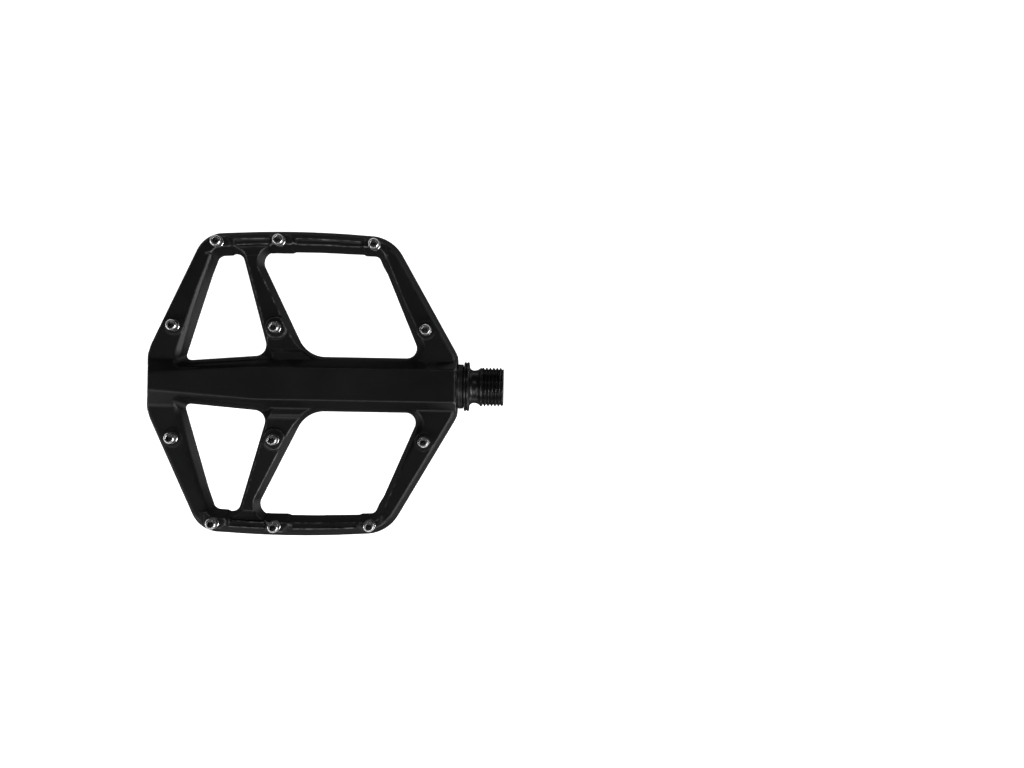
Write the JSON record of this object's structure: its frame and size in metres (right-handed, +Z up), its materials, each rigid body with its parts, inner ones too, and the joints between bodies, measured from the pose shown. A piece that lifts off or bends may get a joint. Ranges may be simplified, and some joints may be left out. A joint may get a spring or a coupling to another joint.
{
  "type": "flat pedal",
  "caption": "Flat bicycle pedal: a forged cage with open windows and screwed-in traction pins, turning on a spindle that screws into a crank arm.",
  "frame": {"origin": "centre of the spindle's shoulder face, the face that seats on the crank arm", "axes": "+X along the spindle towards the crank, +Y across the tread, +Z up through the tread"},
  "size_m": [0.1306, 0.1116, 0.0222],
  "materials": {
    "anodised_black": "satin black anodised over a fine blasted forging",
    "spindle_steel": "black oxide, turned",
    "pin_steel": "bright machined steel",
    "bushing_polymer": "matt bearing polymer",
    "black_rubber": "matt moulded rubber",
    "bearing_seal_rubber": "matt moulded rubber",
    "bearing_steel": "ground bearing steel",
    "plated_steel": "bright zinc plate",
    "cage_brass": "pressed brass",
    "nylon": "nylon"
  },
  "bodies": {
    "spindle_body": {"spindle": "spindle_steel", "bearing_1_inner_race": "bearing_steel", "bearing_2_inner_race": "bearing_steel", "inner_spacer": "bearing_steel", "nut_washer": "plated_steel", "lock_nut": "plated_steel", "lock_nut_insert": "nylon"},
    "cage_body": {"cage": "anodised_black", "inboard_bushing": "bushing_polymer", "lip_seal": "black_rubber", "end_cap": "anodised_black", "end_cap_oring": "black_rubber", "outer_spacer": "bearing_steel", "bearing_1_outer_race": "bearing_steel", "bearing_1_seals": "bearing_seal_rubber", "bearing_2_outer_race": "bearing_steel", "bearing_2_seals": "bearing_seal_rubber", "pins_upper_front_beam": "pin_steel", "pins_upper_rear_beam": "pin_steel", "pins_upper_outboard_arms": "pin_steel", "pins_upper_struts": "pin_steel", "pins_upper_inboard_arms": "pin_steel", "pins_lower_front_beam": "pin_steel", "pins_lower_rear_beam": "pin_steel", "pins_lower_outboard_arms": "pin_steel", "pins_lower_struts": "pin_steel", "pins_lower_inboard_arms": "pin_steel"},
    "ball_set_1": {"bearing_1_balls": "bearing_steel", "bearing_1_ball_cage": "cage_brass"},
    "ball_set_2": {"bearing_2_balls": "bearing_steel", "bearing_2_ball_cage": "cage_brass"}
  },
  "joints": [
    {"name": "cage_spin", "type": "hinge", "parent": "spindle_body", "child": "cage_body", "pos_m": [0, 0, 0], "axis": [1, 0, 0], "continuous": true},
    {"name": "ball_set_1_spin", "type": "hinge", "parent": "spindle_body", "child": "ball_set_1", "pos_m": [0, 0, 0], "axis": [1, 0, 0], "continuous": true},
    {"name": "ball_set_2_spin", "type": "hinge", "parent": "spindle_body", "child": "ball_set_2", "pos_m": [0, 0, 0], "axis": [1, 0, 0], "continuous": true}
  ],
  "couplings": [
    {"joint": "ball_set_1_spin", "follows": "cage_spin", "ratio": 0.6253},
    {"joint": "ball_set_2_spin", "follows": "cage_spin", "ratio": 0.6253}
  ]
}
